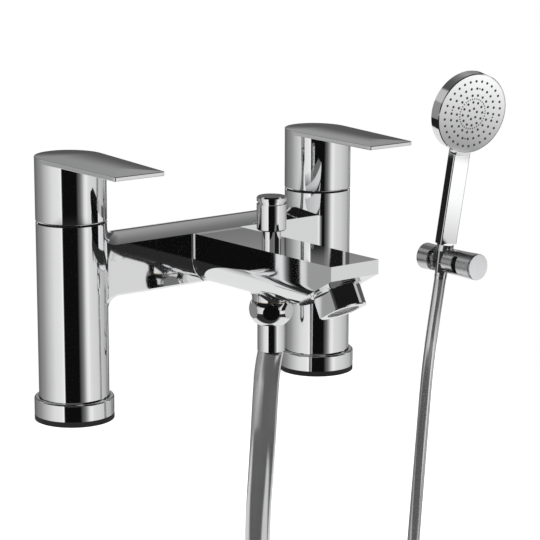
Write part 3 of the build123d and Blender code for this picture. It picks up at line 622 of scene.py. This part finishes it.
# floor under the hose's loop
floor = {"middle": (0.5, 0.4, -0.68), "size": 3.2, "glow": 0.75}
floorMesh = bmesh.new()
bmesh.ops.create_grid(floorMesh, x_segments=2, y_segments=2, size=floor["size"] / 2)
bmesh.ops.translate(floorMesh, verts=floorMesh.verts, vec=floor["middle"])
floorData = bpy.data.meshes.new("floor")
floorMesh.to_mesh(floorData)
floorMesh.free()
floorPiece = added("floor", floorData)
floorPiece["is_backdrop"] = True
floorPiece.visible_glossy = False
paleFloor = Finish("paleFloor", {"Base Color": (0.8, 0.8, 0.8), "Roughness": 0.9})
plain = Signal(paleFloor.tree, paleFloor.shader.outputs[0])
glow = paleFloor.node("ShaderNodeEmission", inputs={"Strength": floor["glow"]})
glowing = paleFloor.node("ShaderNodeAddShader", inputs={0: plain, 1: glow})
shown = paleFloor.node("ShaderNodeMixShader", inputs={0: paleFloor.seenRay(), 1: plain, 2: glowing})
paleFloor.feed(paleFloor.tree.nodes["Material Output"].inputs[0], shown)
floorData.materials.append(paleFloor.material)


# studio: white backdrop, soft boxes around the horizon, a dark front half above it and a pale back
studio = {
    "turn": 128.95,  # brings the direction from the object to the camera to the middle of the ring
    "ring": [
        (0.0, 0.9), (0.02, 0.9), (0.03, 0.12), (0.089, 0.14), (0.207, 0.3), (0.283, 0.55), (0.346, 0.76),
        (0.403, 0.82), (0.42, 0.85), (0.426, 1.0), (0.431, 1.0), (0.4345, 0.004), (0.564, 0.004),
        (0.581, 0.09), (0.599, 0.17), (0.6175, 0.39), (0.636, 0.76), (0.656, 0.9), (0.676, 0.76),
        (0.697, 0.72), (0.742, 0.68), (0.864, 0.46), (0.917, 0.12), (0.97, 0.12), (0.98, 0.9), (1.0, 0.9),
    ],
    "dome": [
        (0.0, 0.01), (0.56, 0.01), (0.585, 0.55), (0.655, 0.55),
        (0.672, 0.085), (0.79, 0.11), (0.92, 0.2), (1.0, 0.34),
    ],
    "boxTops": [(0.0, 0.0), (0.08, 0.0), (0.13, 0.32), (0.58, 0.32), (0.66, 0.0), (1.0, 0.0)],
    "deep": [(0.0, 0.8), (0.19, 0.8), (0.23, 0.03), (0.62, 0.03), (0.68, 0.8), (1.0, 0.8)],
    "middle": [(0.0, 0.8), (0.19, 0.8), (0.23, 0.03), (0.83, 0.02), (0.87, 0.8), (1.0, 0.8)],
    "boxFade": -0.08,
    "deepEdge": (-0.63, -0.57),
    "middleEdge": (-0.36, -0.3),
    "behindEdge": (0.75, 0.88),
    "dimEdge": (0.165, 0.22),
    "dimBelow": 0.68,
    "glow": 0.16,
    "glowFrom": (0.05, 0.12),
    "glowTo": (0.3, 0.4),
    "glowAside": (0.13, 0.25),
    "wash": (0.55, 0.55, 0.56),
    "backdrop": (1.0, 1.0, 1.0),
}
world = bpy.data.worlds.new("studio")
bpy.context.scene.world = world
world.use_nodes = True
room = Shading(world.node_tree)


def ramp(value, low, high, first=0.0, last=1.0):
    return room.node(
        "ShaderNodeMapRange",
        {"interpolation_type": "SMOOTHSTEP"},
        {"Value": value, "From Min": low, "From Max": high, "To Min": first, "To Max": last},
    )


direction = room.node("ShaderNodeTexCoord", output="Generated")
turn = (0, 0, radians(studio["turn"]))
turned = room.node("ShaderNodeMapping", inputs={"Vector": direction, "Rotation": turn})
around = room.node("ShaderNodeTexGradient", {"gradient_type": "RADIAL"}, {"Vector": turned}, output="Fac")
height = room.node("ShaderNodeSeparateXYZ", inputs={"Vector": direction}, output="Z")
aside = room.node("ShaderNodeMath", {"operation": "ABSOLUTE"}, {0: around - 0.5}) * 2
behind = ramp(aside, *studio["behindEdge"])
domeDim = 1 - behind * ramp(height, *studio["dimEdge"], studio["dimBelow"], 0.0)
ringLight = room.node("ShaderNodeValToRGB", {"stops": studio["ring"]}, {"Fac": around})
domeLight = room.node("ShaderNodeValToRGB", {"stops": studio["dome"]}, {"Fac": aside}) * domeDim
deepLight = room.node("ShaderNodeValToRGB", {"stops": studio["deep"]}, {"Fac": around})
middleLight = room.node("ShaderNodeValToRGB", {"stops": studio["middle"]}, {"Fac": around})
boxTop = room.node("ShaderNodeValToRGB", {"stops": studio["boxTops"]}, {"Fac": around})
above = ramp(height - boxTop, studio["boxFade"], 0.0)
under = room.mix(ramp(height, *studio["deepEdge"]), deepLight, middleLight)
ringLight = room.mix(ramp(height, *studio["middleEdge"]), under, ringLight)
glowBand = ramp(height, *studio["glowFrom"]) * (1 - ramp(height, *studio["glowTo"]))
frontGlow = glowBand * (1 - ramp(aside, *studio["glowAside"])) * studio["glow"]
mirrored = room.mix(above, ringLight, domeLight) + frontGlow
lighting = room.mix(room.ray("Glossy"), studio["wash"], mirrored)
final = room.mix(room.seenRay(), lighting, studio["backdrop"])
room.feed(world.node_tree.nodes["Background"].inputs["Color"], final)


# two cards beside the handset, seen only in reflections: a light one for its front, a dark one for its side
cards = {
    "front": {
        "seen": (1.0408, 0.8447, -0.0038),
        "toward": (0.484, -0.787, -0.383),
        "away": 0.5,
        "half": 0.13,
        "span": (-0.42, 0.14),
        "stops": [(0.0, 0.5), (0.37, 0.56), (0.52, 1.1), (0.62, 1.15), (0.66, 0.34), (0.88, 1.2), (1.0, 1.2)],
    },
    "side": {
        "seen": (1.035, 0.862, -0.1),
        "toward": (-0.471, 0.872, -0.13),
        "away": 0.4,
        "half": 0.08,
        "span": (-0.2, 0.05),
        "stops": [(0.0, 0.02), (1.0, 0.012)],
    },
}
for name, card in cards.items():
    cardMesh = bmesh.new()
    low, high = card["span"]
    half = card["half"]
    corners = ((-half, low), (half, low), (half, high), (-half, high))
    cardMesh.faces.new([cardMesh.verts.new((x, y, 0)) for x, y in corners])
    cardData = bpy.data.meshes.new(name + "Card")
    cardMesh.to_mesh(cardData)
    cardMesh.free()
    board = added(name + "Card", cardData)
    board.location = Vector(card["seen"]) + Vector(card["toward"]).normalized() * card["away"]
    board.rotation_euler = Vector(card["toward"]).to_track_quat("-Z", "Y").to_euler()
    board.visible_camera = board.visible_diffuse = board.visible_shadow = board.visible_transmission = False
    black = {"Base Color": (0, 0, 0), "Specular IOR Level": 0.0, "Emission Strength": 1.0}
    glowing = Finish(name + "Card", black)
    along = glowing.node("ShaderNodeSeparateXYZ", inputs={"Vector": glowing.place}, output="Y")
    share = glowing.node("ShaderNodeMapRange", inputs={"Value": along, "From Min": low, "From Max": high})
    light = glowing.node("ShaderNodeValToRGB", {"stops": card["stops"]}, {"Fac": share})
    glowing.set("Emission Color", light)
    cardData.materials.append(glowing.material)
    board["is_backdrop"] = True


# two soft lamps
lamps = {
    "key": {"place": (-1.3, -0.6, 1.3), "size": 1.2, "watts": 22},
    "fill": {"place": (1.4, -1.1, 0.9), "size": 1.2, "watts": 12},
}
lampAim = Vector((0.3, 0.2, 0))
for name, lamp in lamps.items():
    data = bpy.data.lights.new(name, "AREA")
    data.size = lamp["size"]
    data.energy = lamp["watts"]
    made = added(name, data)
    made.location = lamp["place"]
    made.rotation_euler = (lampAim - made.location).to_track_quat("-Z", "Y").to_euler()
    made.visible_glossy = False
bpy.context.scene.view_settings.view_transform = "Standard"
print("stage set")

low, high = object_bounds()
